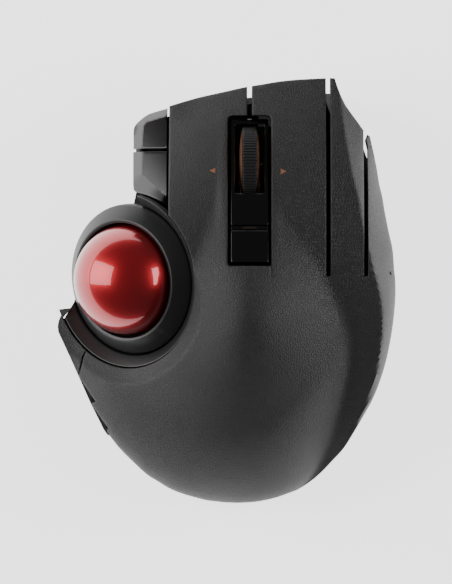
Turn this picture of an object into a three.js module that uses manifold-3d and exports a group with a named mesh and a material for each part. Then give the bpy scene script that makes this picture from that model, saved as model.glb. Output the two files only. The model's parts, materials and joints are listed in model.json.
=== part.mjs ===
// A right-handed thumb trackball mouse, in millimetres.
// +X is the little-finger side, +Y the fingertip end and +Z up; the origin is under the middle of the
// object, on the surface that its feet stand on.
import * as THREE from "three";
import { mergeVertices } from "three/addons/utils/BufferGeometryUtils.js";
import Module from "manifold-3d";

const wasm = await Module();
wasm.setup();

// ---- driving dimensions ----
const GAP = 0.3; // between pieces that touch
const WALL = 2.2; // cover and button plates
const LIP_DEPTH = 7; // rims that the finger buttons turn down
const LIP_WALL = 1.8;
const PARTING_Z = 9; // top cover's lower rim
const CASE_BOTTOM_Z = 1.2;
const CASE_TOP_Z = PARTING_Z - GAP;
const FLOOR = 2;
const CASE_WALL = 2;
const RIDGE = { x: 7, y: -6, z: 54, round: 6 }; // highest point of the palm
const SLOPE = { left: 0.8, right: 0.62, front: 0.5, rear: 0.55 };
const SKIRT_Z = { low: 10.5, left: 14 }; // where the palm's rounded edge meets the side wall
const CREASE = [
  { x: 33.2, slope: 0.5 }, // ring-finger facet starts here
  { x: 44.3, slope: 0.5 }, // little-finger facet
];
const BALL_R = 17;
const BALL = new THREE.Vector3(-29.7, 3.85, 25.5);
const CUP_TILT = THREE.MathUtils.degToRad(37); // the cup leans towards the thumb
const CUP_TURN = THREE.MathUtils.degToRad(10); // and a little to the back
const CUP_GAP = 0.9; // the bearings hold the ball this far off the bowl
const LIP = { r: 17.7, s: 3.2 }; // s is measured along the cup's axis from the ball's centre
const RING = { r: 23.1, s: -0.9 };
const COLLAR = { r: 26.8, s: 2.6 };
const SLOT = { x0: -0.3, x1: 14.7, y0: 8.5, y1: 54.6 }; // wheel slot between the main buttons
const BEZEL = { x0: 0.9, x1: 13.5, split: 19.2, y1: 53.8, sink: 0.6, depth: 1.6 };
const WINDOW = { x0: 2.9, x1: 11.5, y0: 30, y1: 51 };
const SLIT_X = { middle: [6.5, 7.9], ring: [30.5, 31.8], little: [42.1, 43.2] };
const HINGE_Y = { left: 10, right: 4.8 };
const HINGE_GAP = 0.4;
const SIDE_SLIT_X = -17.6;
const WHEEL = { x: 7.2, y: 38.2, z: 29.2, r: 12.25 };
const TILT_Z = 25; // the wheel yoke tilts about this height
const BUTTON_BOARD = { z: 14.8, thickness: 1.4 };
const MAIN_BOARD = { z: 5.2, thickness: 1.6 };

// ---- materials ----
const plastic = (color, roughness) =>
  new THREE.MeshStandardMaterial({ color, roughness, metalness: 0 });
const metal = (color, roughness) =>
  new THREE.MeshStandardMaterial({ color, roughness, metalness: 1 });
const SOFT_BLACK = plastic(0x2b2b2d, 0.62);
const SATIN_BLACK = plastic(0x303032, 0.5);
const GLOSS_BLACK = plastic(0x0c0b0b, 0.12);
const CASE_BLACK = plastic(0x222224, 0.55);
const BALL_RED = plastic(0xa01218, 0.12);
const COPPER = metal(0xc4805f, 0.25);
const RUBBER = plastic(0x1e1e1f, 0.8);
const CLEAR = plastic(0x8a5a3a, 0.3);
const BOARD_GREEN = plastic(0x1d5a35, 0.6);
const SWITCH_GREY = plastic(0x3a3c40, 0.5);
const STEEL = metal(0xb9bcc0, 0.3);
const CELL = plastic(0x9aa3ad, 0.4);
const RUBY = plastic(0xd8405a, 0.15);
const NYLON = plastic(0xd9d9d2, 0.6);

// ---- solids ----
function solid(geometry) {
  const bare = (geometry.index ? geometry.toNonIndexed() : geometry).clone();
  bare.deleteAttribute("normal");
  bare.deleteAttribute("uv");
  const merged = mergeVertices(bare, 1e-4);
  return new wasm.Manifold(
    new wasm.Mesh({
      numProp: 3,
      vertProperties: merged.attributes.position.array,
      triVerts: new Uint32Array(merged.index.array),
    }),
  );
}

function geometryOf(body) {
  const mesh = body.getMesh();
  return new THREE.BufferGeometry()
    .setAttribute("position", new THREE.BufferAttribute(mesh.vertProperties, 3))
    .setIndex(new THREE.BufferAttribute(mesh.triVerts, 1));
}

const vectors = (points) => points.map(([x, y]) => new THREE.Vector2(x, y));

function prism(points, z0, z1) {
  const shape = new THREE.Shape(vectors(points));
  const geometry = new THREE.ExtrudeGeometry(shape, { depth: z1 - z0, bevelEnabled: false });
  return solid(geometry.translate(0, 0, z0));
}

// A side profile of (y, z) points, extruded from x0 to x1.
function sideways(profile, x0, x1) {
  const shape = new THREE.Shape(vectors(profile));
  const geometry = new THREE.ExtrudeGeometry(shape, { depth: x1 - x0, bevelEnabled: false });
  const basis = new THREE.Matrix4().makeBasis(
    new THREE.Vector3(0, 1, 0),
    new THREE.Vector3(0, 0, 1),
    new THREE.Vector3(1, 0, 0),
  );
  return solid(geometry.applyMatrix4(basis).translate(x0, 0, 0));
}

function block(x0, x1, y0, y1, z0, z1) {
  const geometry = new THREE.BoxGeometry(x1 - x0, y1 - y0, z1 - z0);
  return solid(geometry.translate((x0 + x1) / 2, (y0 + y1) / 2, (z0 + z1) / 2));
}

function post(x, y, z0, z1, r, segments = 16) {
  const geometry = new THREE.CylinderGeometry(r, r, z1 - z0, segments).rotateX(Math.PI / 2);
  return solid(geometry.translate(x, y, (z0 + z1) / 2));
}

// A cylinder along X.
function axleSolid(x0, x1, y, z, r, segments = 16) {
  const geometry = new THREE.CylinderGeometry(r, r, x1 - x0, segments).rotateZ(Math.PI / 2);
  return solid(geometry.translate((x0 + x1) / 2, y, z));
}

// Moves each corner of an anticlockwise polygon inwards.
function inset(points, distance) {
  const count = points.length;
  return points.map(([x, y], i) => {
    const [ax, ay] = points[(i + count - 1) % count];
    const [bx, by] = points[(i + 1) % count];
    const before = new THREE.Vector2(x - ax, y - ay).normalize();
    const after = new THREE.Vector2(bx - x, by - y).normalize();
    const inward = new THREE.Vector2(-before.y - after.y, before.x + after.x).normalize();
    const reach = distance / Math.max(0.5, inward.dot(new THREE.Vector2(-before.y, before.x)));
    return [x + inward.x * reach, y + inward.y * reach];
  });
}

// ---- the palm surface ----
const smooth = (from, to, value) => THREE.MathUtils.smoothstep(value, from, to);
const mix = THREE.MathUtils.lerp;

// The rounded skirt of the palm, anticlockwise; it runs on past the buttons, which are cut out later.
const SKIRT_FRONT = [54, 44, 38, 32.5, 24, 15, 7, 0, -8, -17, -27, -38, -49, -60].map((x) => [x, 74]);
const SKIRT_LEFT = [[-60, 55], [-60, 36], [-59, 20], [-56, 4], [-52, -12.2], [-42.2, -32.2]];
const SKIRT_REAR_AND_RIGHT = [
  [-32.6, -48.8], [-22.5, -58], [-8.6, -64.2], [3, -65.4], [14.8, -64.2], [26.8, -58], [35.7, -48.8],
  [43.4, -36.5], [49.8, -18], [52, 0.5], [51.1, 12.8], [48.3, 30], [49.5, 50], [53, 68],
];
const skirtCurve = new THREE.SplineCurve(vectors(SKIRT_REAR_AND_RIGHT));
const SKIRT = [...SKIRT_FRONT, ...SKIRT_LEFT, ...skirtCurve.getPoints(34).map((p) => [p.x, p.y])];

function distanceToSkirt(x, y) {
  let nearest = Infinity;
  SKIRT.forEach(([ax, ay], i) => {
    const [bx, by] = SKIRT[(i + 1) % SKIRT.length];
    const dx = bx - ax;
    const dy = by - ay;
    const along = THREE.MathUtils.clamp(((x - ax) * dx + (y - ay) * dy) / (dx * dx + dy * dy), 0, 1);
    nearest = Math.min(nearest, Math.hypot(x - ax - along * dx, y - ay - along * dy));
  });
  return nearest;
}

const softplus = (t, width) => width * Math.log1p(Math.exp(Math.min(t / width, 40)));

// Height of the outer surface over (x, y).
function palmHeight(x, y) {
  const dx = x - RIDGE.x;
  const dy = y - RIDGE.y;
  const across = dx * (dx < 0 ? SLOPE.left : SLOPE.right);
  const along = dy * (dy < 0 ? SLOPE.rear : SLOPE.front);
  let z = RIDGE.z + RIDGE.round - Math.hypot(RIDGE.round, across, along);
  const front = smooth(-15, 40, y);
  CREASE.forEach((crease) => {
    z -= crease.slope * front * softplus(x - crease.x, mix(6, 0.5, smooth(0, 25, y)));
  });
  const besideSlot = Math.hypot(
    Math.max(SLOT.x0 - x, 0, x - SLOT.x1),
    Math.max(SLOT.y0 - y, 0, y - SLOT.y1),
  );
  z += 1.3 * smooth(14, 36, y) * (1 - smooth(0.5, 5.5, besideSlot)); // wheel island
  const skirtZ = mix(SKIRT_Z.left, SKIRT_Z.low, smooth(-45, -10, x));
  const round = mix(9, mix(24, mix(15, 6, smooth(15, 35, y)), smooth(-50, -5, y)), smooth(-40, 0, x));
  const t = Math.min(distanceToSkirt(x, y) / round, 1);
  const edge = (1 - (1 - t) ** 2.3) ** (1 / 2.3);
  return skirtZ + Math.max(z - skirtZ, 1) * edge;
}

// A solid filled up to the palm surface, lowered by drop, with its skirt drawn in by drop.
const RINGS = [0.3, 0.55, 0.72, 0.84, 0.92, 0.97, 1];
function dome(drop, bottom = -2) {
  const rim = drop ? inset(SKIRT, drop) : SKIRT;
  const count = rim.length;
  const positions = [RIDGE.x, RIDGE.y, RIDGE.z - drop];
  RINGS.forEach((share) => {
    rim.forEach(([rimX, rimY]) => {
      const [x, y] = [mix(RIDGE.x, rimX, share), mix(RIDGE.y, rimY, share)];
      positions.push(x, y, Math.max(palmHeight(x, y) - drop, bottom + 1));
    });
  });
  rim.forEach(([x, y]) => positions.push(x, y, bottom));
  positions.push(RIDGE.x, RIDGE.y, bottom);
  const faces = [];
  const at = (ring, i) => 1 + ring * count + (i % count);
  const last = RINGS.length;
  for (let i = 0; i < count; i += 1) {
    faces.push(0, at(0, i), at(0, i + 1));
    for (let ring = 0; ring < last; ring += 1) {
      faces.push(at(ring, i), at(ring + 1, i), at(ring + 1, i + 1));
      faces.push(at(ring, i), at(ring + 1, i + 1), at(ring, i + 1));
    }
    faces.push(at(last, i), 1 + (last + 1) * count, at(last, i + 1));
  }
  const geometry = new THREE.BufferGeometry();
  geometry.setAttribute("position", new THREE.Float32BufferAttribute(positions, 3));
  geometry.setIndex(faces);
  return solid(geometry);
}

// ---- the cup's frame ----
const cupAxis = new THREE.Vector3(
  -Math.sin(CUP_TILT) * Math.cos(CUP_TURN),
  -Math.sin(CUP_TILT) * Math.sin(CUP_TURN),
  Math.cos(CUP_TILT),
);
const cupTurn = new THREE.Quaternion().setFromUnitVectors(new THREE.Vector3(0, 0, 1), cupAxis);

// A closed (r, s) profile turned about the cup's axis.
function aboutCup(profile, segments = 28) {
  const closed = profile[0][0] < 1e-6 ? profile : [...profile, profile[0]];
  const geometry = new THREE.LatheGeometry(vectors(closed), segments).rotateX(Math.PI / 2);
  return solid(geometry.applyQuaternion(cupTurn).translate(BALL.x, BALL.y, BALL.z));
}

const arc = (r, from, to, steps) =>
  Array.from({ length: steps + 1 }, (_, i) => {
    const angle = THREE.MathUtils.degToRad(mix(from, to, i / steps));
    return [r * Math.cos(angle), r * Math.sin(angle)];
  });
const ball = (x, y, z, r, across, down) =>
  solid(new THREE.SphereGeometry(r, across, down).translate(x, y, z));

// A point on the sphere of radius r about the ball, at an angle down from the cup's plane.
function onBall(r, downAngle, turn) {
  const down = THREE.MathUtils.degToRad(downAngle);
  const round = THREE.MathUtils.degToRad(turn);
  return new THREE.Vector3(
    r * Math.cos(down) * Math.cos(round),
    r * Math.cos(down) * Math.sin(round),
    -r * Math.sin(down),
  ).applyQuaternion(cupTurn).add(BALL);
}

// ---- shells and buttons ----
const FAR = 90;
const SKIN = { outer: dome(0), inner: dome(WALL), lip: dome(LIP_DEPTH) };
const shell = SKIN.outer.subtract(SKIN.inner).intersect(block(-FAR, FAR, -FAR, FAR, PARTING_Z, FAR));
const cupClearance = aboutCup([
  [0, -40], [COLLAR.r + GAP, -40], [COLLAR.r + GAP, 40], [0, 40],
], 48);
const platedShell = shell.subtract(cupClearance);

// A plate of the palm surface with a lip turned down all round it.
function button(outline) {
  const whole = prism(outline, 0, FAR);
  let hollow = SKIN.inner;
  for (let i = 0; i < 8; i += 1) {
    const angle = (i * Math.PI) / 4;
    hollow = hollow.intersect(whole.translate([LIP_WALL * Math.cos(angle), LIP_WALL * Math.sin(angle), 0]));
  }
  return prism(outline, PARTING_Z + 1, FAR)
    .intersect(SKIN.outer)
    .subtract(SKIN.lip)
    .subtract(hollow)
    .subtract(cupClearance);
}

const WING_SPLIT = [[-45.2, -24.6], [-42.4, -17.6]];
const wingOutline = [[-51, -16.5], WING_SPLIT[0], WING_SPLIT[1], [-38, -12], [-46, -3.5], [-49.5, -6.1],
  [-51.6, -8.6], [-52, -11.2]];

// Two wedge-shaped steps in the left wall hold the slide switches.
const WALL_LINE = new THREE.Vector2(13.4, -28.6).normalize();
const wallPoint = (along, inward) => [
  -51.2 + WALL_LINE.x * along - WALL_LINE.y * inward,
  -13.6 + WALL_LINE.y * along + WALL_LINE.x * inward,
];
const STEPS = [{ from: 13, to: 23 }, { from: 23.6, to: 32 }];
const stepCut = ({ from, to }) =>
  prism([wallPoint(from, -0.2), wallPoint(from, -4), wallPoint(to, -4), wallPoint(to, 1.6)], PARTING_Z - 1, FAR);
const SLIDER = { half: 1.8, travel: 1.2, z0: 10.4, z1: 12.4 };
const sliderCentre = ({ from, to }) => (from + to) / 2 + 1.5;
function wallBar(middle, half, near, far, z0, z1) {
  return prism([wallPoint(middle - half, near), wallPoint(middle + half, near), wallPoint(middle + half, far),
    wallPoint(middle - half, far)], z0, z1);
}

function topCover() {
  const behindButtons = prism(
    [[-FAR, -FAR], [FAR, -FAR], [FAR, HINGE_Y.right - HINGE_GAP], [SLOT.x1 - GAP, HINGE_Y.right - HINGE_GAP],
      [SLOT.x1 - GAP, SLOT.y0], [SLOT.x0, SLOT.y0], [SLOT.x0, HINGE_Y.left - HINGE_GAP], [-FAR, HINGE_Y.left - HINGE_GAP]],
    0, FAR);
  const wingRegion = prism(
    [[-FAR, -25.1], [WING_SPLIT[0][0], -25.1], [WING_SPLIT[1][0] + 0.3, -18.1], [-36, -10], [-30, 12], [-FAR, 12]],
    0, FAR);
  let cover = platedShell.intersect(behindButtons).subtract(wingRegion);
  STEPS.forEach((step) => {
    const slotHalf = SLIDER.half + SLIDER.travel + 0.4;
    cover = cover.subtract(stepCut(step)).subtract(
      wallBar(sliderCentre(step), slotHalf, -3, 5, SLIDER.z0 - 0.4, SLIDER.z1 + 0.4));
  });
  SCREWS.forEach(([x, y]) => {
    const boss = post(x, y, PARTING_Z, FAR, 3.4, 12).intersect(dome(1));
    cover = cover.add(boss).subtract(post(x, y, 5, 24, SCREW_R + GAP, 12));
  });
  return cover;
}

const SCREWS = [[30, -28], [-16, -46], [35.2, -2], [6, -2]];
const SCREW_R = 1.2;

const buttonOutline = {
  left_button: [
    [SIDE_SLIT_X + 0.4, 57.1], [SIDE_SLIT_X + 0.4, 20], [-25, HINGE_Y.left], [SLOT.x0, HINGE_Y.left],
    [SLOT.x0, SLOT.y1], [SLIT_X.middle[0], SLOT.y1], [SLIT_X.middle[0], 62.9], [-0.6, 61.4], [-8, 59.8],
    [-13.5, 58.3],
  ],
  right_button: [
    [SLIT_X.middle[1], 63.1], [SLIT_X.middle[1], SLOT.y1], [SLOT.x1, SLOT.y1], [SLOT.x1, HINGE_Y.right],
    [SLIT_X.ring[0], HINGE_Y.right], [SLIT_X.ring[0], 65.35], [23.4, 65], [16, 64.4],
  ],
  ring_finger_button: [
    [SLIT_X.ring[1], 65.4], [SLIT_X.ring[1], HINGE_Y.right], [SLIT_X.little[0], HINGE_Y.right],
    [SLIT_X.little[0], 49.3], [40, 52.2], [38.2, 54.6], [36.3, 57.4], [34.5, 61.4], [33.2, 65.2],
  ],
  little_finger_button: [
    [SLIT_X.little[1], 48.2], [SLIT_X.little[1], HINGE_Y.right], [53, HINGE_Y.right], [52, 10], [48.9, 25],
    [46.6, 37], [44.8, 44.6], [43.9, 47.8],
  ],
};

// The surface of the raised strip that holds the wheel bezel.
const stripHeight = (y) => palmHeight(WHEEL.x, y) - BEZEL.sink;
function strip(y0, y1, x0, x1, depth, lowered = 0) {
  const steps = Math.max(2, Math.ceil((y1 - y0) / 5));
  const top = Array.from({ length: steps + 1 }, (_, i) => mix(y0, y1, i / steps));
  const profile = [
    ...top.map((y) => [y, stripHeight(y) - lowered - depth]),
    ...top.reverse().map((y) => [y, stripHeight(y) - lowered]),
  ];
  return sideways(profile, x0, x1);
}

function wheelBezel() {
  const window = block(WINDOW.x0, WINDOW.x1, WINDOW.y0, WINDOW.y1, 0, FAR);
  return strip(BEZEL.split + 0.5, BEZEL.y1, BEZEL.x0, BEZEL.x1, BEZEL.depth).subtract(window);
}

// ---- side buttons ----
const SIDE = { x0: -28.7, x1: SIDE_SLIT_X - 0.4, split: 43.2, sink: 0.8, bottom: 15.2, chamferX: -25.4 };
const sideOutline = {
  forward_button: [[SIDE.x1, 56.4], [-24, 54.6], [-27.4, 51.8], [SIDE.x0, 49.5], [SIDE.x0, SIDE.split + 0.6],
    [SIDE.x1, SIDE.split + 0.6]],
  back_button: [[SIDE.x1, SIDE.split - 0.6], [SIDE.x0, SIDE.split - 0.6], [SIDE.x0 - 0.1, 33.6], [-28.1, 31],
    [-24, 29.9], [SIDE.x1, 26.4]],
};
// Everything under a plane through (x, z) that runs along Y and falls away to the left.
function underSlope(x, z, degrees) {
  const geometry = new THREE.BoxGeometry(200, 300, 100).translate(0, 0, -50);
  return solid(geometry.rotateY(-THREE.MathUtils.degToRad(degrees)).translate(x, 40, z));
}
function sideButton(name) {
  return prism(sideOutline[name], SIDE.bottom, FAR)
    .intersect(dome(SIDE.sink))
    .subtract(cupClearance)
    .intersect(underSlope(SIDE.chamferX, palmHeight(SIDE.chamferX, SIDE.split) - SIDE.sink, 60));
}

// ---- lower case and frame ----
const CASE_OUTLINE = [
  [-22, 52.6], [-27.6, 49], [-27.9, 40], [-27.4, 32], [-28.6, 26.5], [-37, 18.5], [-43, 9], [-45.6, 1],
  [-47.8, -5.4], [-50.9, -9.2], [-51, -13], [-32.3, -48.4], [-22.2, -57.6], [-8.6, -63.8], [3, -65],
  [14.6, -63.8], [26.5, -57.6], [35.4, -48.6], [43, -36.3], [49.3, -18], [51.5, 0.5], [50.6, 12.8], [48, 25],
  [45.4, 36], [42.6, 44.2], [37.4, 50.9], [33.6, 56.5], [32, 61.2], [18, 61], [7, 59.8], [-2, 58], [-17, 54.4],
];
const EJECT_R = 7;
const FEET = {
  front_left_foot: { x: -14, y: 45, w: 18, d: 7 },
  front_right_foot: { x: 26, y: 50, w: 18, d: 7 },
  left_foot: { x: -42, y: -10, w: 6, d: 12 },
  right_foot: { x: 43, y: -6, w: 6, d: 20 },
  rear_foot: { x: 2, y: -56, w: 30, d: 7 },
};
const FOOT_H = 1.5;
const POWER = { x: 8, y: 20, w: 12, d: 5, travel: 6 };
const USB = { x: 14, y: 56.2, z: MAIN_BOARD.z + MAIN_BOARD.thickness + GAP, w: 8, d: 6.5, h: 2.8 };

function slab(x, y, w, d, z0, z1, corner) {
  const shape = new THREE.Shape();
  const [x0, x1, y0, y1] = [x - w / 2, x + w / 2, y - d / 2, y + d / 2];
  shape.moveTo(x0 + corner, y0);
  shape.lineTo(x1 - corner, y0).absarc(x1 - corner, y0 + corner, corner, -Math.PI / 2, 0);
  shape.lineTo(x1, y1 - corner).absarc(x1 - corner, y1 - corner, corner, 0, Math.PI / 2);
  shape.lineTo(x0 + corner, y1).absarc(x0 + corner, y1 - corner, corner, Math.PI / 2, Math.PI);
  shape.lineTo(x0, y0 + corner).absarc(x0 + corner, y0 + corner, corner, Math.PI, Math.PI * 1.5);
  const geometry = new THREE.ExtrudeGeometry(shape, { depth: z1 - z0, bevelEnabled: false, curveSegments: 2 });
  return solid(geometry.translate(0, 0, z0));
}

function bottomCase() {
  let tray = prism(CASE_OUTLINE, CASE_BOTTOM_Z, CASE_TOP_Z)
    .subtract(prism(inset(CASE_OUTLINE, CASE_WALL), CASE_BOTTOM_Z + FLOOR, FAR));
  Object.values(FEET).forEach(({ x, y, w, d }) => {
    tray = tray.subtract(slab(x, y, w + 0.6, d + 0.6, -1, FOOT_H + GAP, 2));
  });
  SCREWS.forEach(([x, y]) => {
    tray = tray.add(post(x, y, CASE_BOTTOM_Z, CASE_TOP_Z, 4, 12));
    tray = tray.subtract(post(x, y, -1, 3.2, 2.9, 12)).subtract(post(x, y, -1, 20, SCREW_R + GAP, 12));
  });
  tray = tray.subtract(post(BALL.x, BALL.y, -1, 20, EJECT_R, 16));
  tray = tray.subtract(block(-60, -38, -7, 14, CASE_TOP_Z - 0.9, FAR));
  tray = tray.subtract(slab(POWER.x, POWER.y, POWER.w, POWER.d, -1, CASE_BOTTOM_Z + 1.2, 1));
  tray = tray.subtract(block(POWER.x - 4.4, POWER.x + 4.4, POWER.y - 1.2, POWER.y + 1.2, 0, 5));
  return tray.subtract(block(USB.x - USB.w / 2 - GAP, USB.x + USB.w / 2 + GAP, 50, 70, USB.z - GAP, FAR));
}

// ---- ball cup ----
const BEARINGS = [30, 150, 270].map((turn) => onBall(BALL_R + 1.25 + 0.02, 35, turn));
const SENSOR_TURN = -20;
const SENSOR_DOWN = 32;
function sensorTunnel(r, from, to) {
  const start = onBall(from, SENSOR_DOWN, SENSOR_TURN);
  const end = onBall(to, SENSOR_DOWN, SENSOR_TURN);
  const length = start.distanceTo(end);
  const geometry = new THREE.CylinderGeometry(r, r, length, 16).translate(0, length / 2, 0);
  const turn = new THREE.Quaternion().setFromUnitVectors(
    new THREE.Vector3(0, 1, 0), end.clone().sub(start).normalize());
  return solid(geometry.applyQuaternion(turn).translate(start.x, start.y, start.z));
}
function ballCup() {
  const inner = BALL_R + CUP_GAP;
  let cup = aboutCup([...arc(inner + 2, -90, 0, 7), ...arc(inner, 0, -90, 7)]);
  cup = cup.subtract(post(BALL.x, BALL.y, -5, BALL.z - 10, EJECT_R - 0.6, 16));
  BEARINGS.forEach((p) => {
    cup = cup.subtract(ball(p.x, p.y, p.z, 1.25 + GAP, 8, 6));
  });
  return cup.subtract(sensorTunnel(2.6, inner - 1, inner + 4));
}

function cupRing() {
  const seat = BALL_R + CUP_GAP + 2 + GAP;
  return aboutCup([
    [LIP.r, GAP], [seat, GAP], [seat, RING.s - 1.6], [RING.r - 0.6, RING.s - 3], [RING.r, RING.s - 2.6],
    [RING.r, RING.s], [LIP.r + 0.9, LIP.s], [LIP.r, LIP.s - 0.3],
  ], 40);
}

function cupCollar() {
  const ring = aboutCup([
    [RING.r + 0.4, RING.s + 0.2], [RING.r + 0.4, RING.s - 3], [COLLAR.r - 1.4, COLLAR.s - 4],
    [COLLAR.r, COLLAR.s - 2.6], [COLLAR.r, COLLAR.s],
  ], 40);
  const thumbSide = prism(
    [[-FAR, -6.2], [-49.5, -6.2], [-46.4, -3.2], [-40, 8], [-27.4, 24], [-27.4, FAR], [-FAR, FAR]], 0, FAR);
  return ring.subtract(thumbSide).intersect(block(-FAR, FAR, -FAR, FAR, PARTING_Z, FAR));
}

function middleFrame() {
  const region = prism(
    [[-39, 6], [-25, 8], [-14, 30], [-14, 38], [26, 40], [44, 30], [60, 6], [60, 80], [-39, 80]], 0, FAR);
  return prism(CASE_OUTLINE, PARTING_Z, FAR)
    .subtract(prism(inset(CASE_OUTLINE, CASE_WALL), 0, FAR))
    .intersect(region)
    .intersect(dome(LIP_DEPTH + 1.5))
    .subtract(prism([[-FAR, 25], [-14, 25], [-14, 70], [-FAR, 70]], SIDE.bottom - 0.8, FAR))
    .subtract(aboutCup([[0, -30], [16, -15], [COLLAR.r + 0.6, COLLAR.s - 6.5], [COLLAR.r + 0.6, 20], [0, 20]]))
    .subtract(block(USB.x - USB.w / 2 - GAP, USB.x + USB.w / 2 + GAP, 50, 70, 0, USB.z + USB.h + GAP));
}

// ---- wheel ----
function turned(profile, x, segments) {
  // (radius, x) profile about the wheel's axle
  const geometry = new THREE.LatheGeometry(vectors(profile), segments).rotateZ(-Math.PI / 2);
  return solid(geometry.translate(x, WHEEL.y, WHEEL.z));
}
const wheelParts = {
  wheel_hub: () => turned([[0, -5.9], [1.1, -5.9], [1.1, -3.2], [9.6, -3.2], [9.6, -2.1], [10.4, -2.1], [10.4, 2.1],
    [9.6, 2.1], [9.6, 3.2], [1.1, 3.2], [1.1, 5.9], [0, 5.9]], WHEEL.x, 28),
  wheel_tyre: () => turned([[10.7, -2.2], [11.9, -2.2], [WHEEL.r, -1.7], [WHEEL.r, 1.7], [11.9, 2.2], [10.7, 2.2],
    [10.7, -2.2]], WHEEL.x, 36),
  wheel_left_ring: () => turned([[9.9, -3.2], [10.8, -3.2], [11.5, -2.5], [9.9, -2.5], [9.9, -3.2]], WHEEL.x, 28),
  wheel_right_ring: () => turned([[9.9, 2.5], [11.5, 2.5], [10.8, 3.2], [9.9, 3.2], [9.9, 2.5]], WHEEL.x, 28),
};

const YOKE = { x: 4.1, thick: 1.2, y0: WHEEL.y - 3.5, y1: WHEEL.y + 3.5 };
function tiltYoke() {
  const arm = (side) => block(
    WHEEL.x + (side > 0 ? YOKE.x : -YOKE.x - YOKE.thick), WHEEL.x + (side > 0 ? YOKE.x + YOKE.thick : -YOKE.x),
    YOKE.y0, YOKE.y1, 13.4, WHEEL.z + 3);
  return arm(1).add(arm(-1))
    .add(block(WHEEL.x - YOKE.x - 0.5, WHEEL.x + YOKE.x + 0.5, YOKE.y0, YOKE.y1, 13.4, 15.4))
    .subtract(axleSolid(WHEEL.x - 9, WHEEL.x + 9, WHEEL.y, WHEEL.z, 1.15 + GAP));
}
function wheelCradle() {
  const [x0, x1] = [WHEEL.x - 7.6, WHEEL.x + 7.6];
  return block(x0, x1, WHEEL.y - 5.2, WHEEL.y + 5.2, 10.4, 24)
    .subtract(block(x0 + 1.2, x1 - 1.2, 20, 60, 12.6, 40))
    .subtract(block(x0 - 1, x1 + 1, WHEEL.y - 2, WHEEL.y + 2, 20, 30));
}

// ---- electronics ----
const underside = (x, y) => palmHeight(x, y) - WALL;
function microSwitch({ x, y, w, d, base, reach }) {
  const top = reach ?? underside(x, y) - 4.2;
  return block(x - w / 2, x + w / 2, y - d / 2, y + d / 2, base, top - 1)
    .add(post(x, y, top - 1.2, top, 1.1, 8));
}
const boardTop = BUTTON_BOARD.z + BUTTON_BOARD.thickness + GAP;
const mainTop = MAIN_BOARD.z + MAIN_BOARD.thickness + GAP;
const SWITCHES = {
  left_switch: { x: -8, y: 46, w: 6, d: 12, base: boardTop },
  right_switch: { x: 22, y: 47, w: 6, d: 12, base: boardTop },
  ring_finger_switch: { x: 36.5, y: 40, w: 5, d: 8, base: mainTop },
  little_finger_switch: { x: 44.5, y: 21.5, w: 2.4, d: 5, base: mainTop, reach: 8.5 },
  forward_switch: { x: -22, y: 46, w: 5, d: 4.6, base: mainTop, reach: 14.4 },
  back_switch: { x: -22, y: 37, w: 5, d: 4.6, base: mainTop, reach: 14.4 },
  rear_key_switch: { x: 7.2, y: 14, w: 6, d: 6, base: mainTop, reach: stripHeight(14) - 3.6 },
  wheel_click_switch: { x: 7.2, y: WHEEL.y, w: 4, d: 4, base: mainTop, reach: 9.6 },
};
function mainBoard() {
  return prism([[-20.5, 50], [-24.5, 47.6], [-24.5, 30], [-12, 26], [-6, 12], [-6, -20], [36, -20], [44, 0], [46, 24], [38, 44],
    [28, 54], [-8, 54]], MAIN_BOARD.z, MAIN_BOARD.z + MAIN_BOARD.thickness)
    .subtract(post(SCREWS[2][0], SCREWS[2][1], 0, 20, 4.6, 12))
    .subtract(post(SCREWS[3][0], SCREWS[3][1], 0, 20, 4.6, 12));
}
function buttonBoard() {
  return block(-12, 28, 30, 51, BUTTON_BOARD.z, BUTTON_BOARD.z + BUTTON_BOARD.thickness)
    .subtract(block(-0.9, 15.3, 27, 48.5, 0, 40));
}

const BATTERY = { x: 5.5, y: -34, r: 5, length: 38, z: 11 };
const SENSOR = { r0: BALL_R + CUP_GAP + 3, r1: BALL_R + CUP_GAP + 5.5, r2: BALL_R + CUP_GAP + 7.1 };
// A block centred on the sensor's line of sight, from one distance to another.
function alongSensor(size, from, to) {
  const start = onBall(from, SENSOR_DOWN, SENSOR_TURN);
  const end = onBall(to, SENSOR_DOWN, SENSOR_TURN);
  const length = start.distanceTo(end);
  const turn = new THREE.Quaternion().setFromUnitVectors(
    new THREE.Vector3(0, 0, 1), end.clone().sub(start).normalize());
  const geometry = new THREE.BoxGeometry(size, size, length).translate(0, 0, length / 2);
  return solid(geometry.applyQuaternion(turn).translate(start.x, start.y, start.z));
}

// ---- slide switches ----
const wallSlider = (step) =>
  wallBar(sliderCentre(step), SLIDER.half, -0.1, 3.6, SLIDER.z0, SLIDER.z1);
function powerSlider() {
  return slab(POWER.x - POWER.travel / 2, POWER.y, 5, 3.4, 0.9, CASE_BOTTOM_Z + 0.9, 0.6)
    .add(block(POWER.x - POWER.travel / 2 - 1, POWER.x - POWER.travel / 2 + 1, POWER.y - 0.8, POWER.y + 0.8,
      CASE_BOTTOM_Z, 4.4));
}
function usbSocket() {
  const [x0, x1, y0, y1] = [USB.x - USB.w / 2, USB.x + USB.w / 2, USB.y - USB.d, USB.y];
  return block(x0, x1, y0, y1, USB.z, USB.z + USB.h)
    .subtract(block(x0 + 0.5, x1 - 0.5, y0 + 1, y1 + 5, USB.z + 0.5, USB.z + USB.h - 0.5))
    .add(block(USB.x - 2.6, USB.x + 2.6, y0 + 0.5, y1 - 1, USB.z + 1.1, USB.z + 1.7));
}
function screw(x, y) {
  return post(x, y, 1.4, 3, 2.4, 12).add(post(x, y, 2, 16, SCREW_R, 12));
}

// ---- assembly ----
const group = new THREE.Group();
function add(name, body, material) {
  const mesh = new THREE.Mesh(geometryOf(body), material);
  mesh.name = name;
  group.add(mesh);
}

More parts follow.
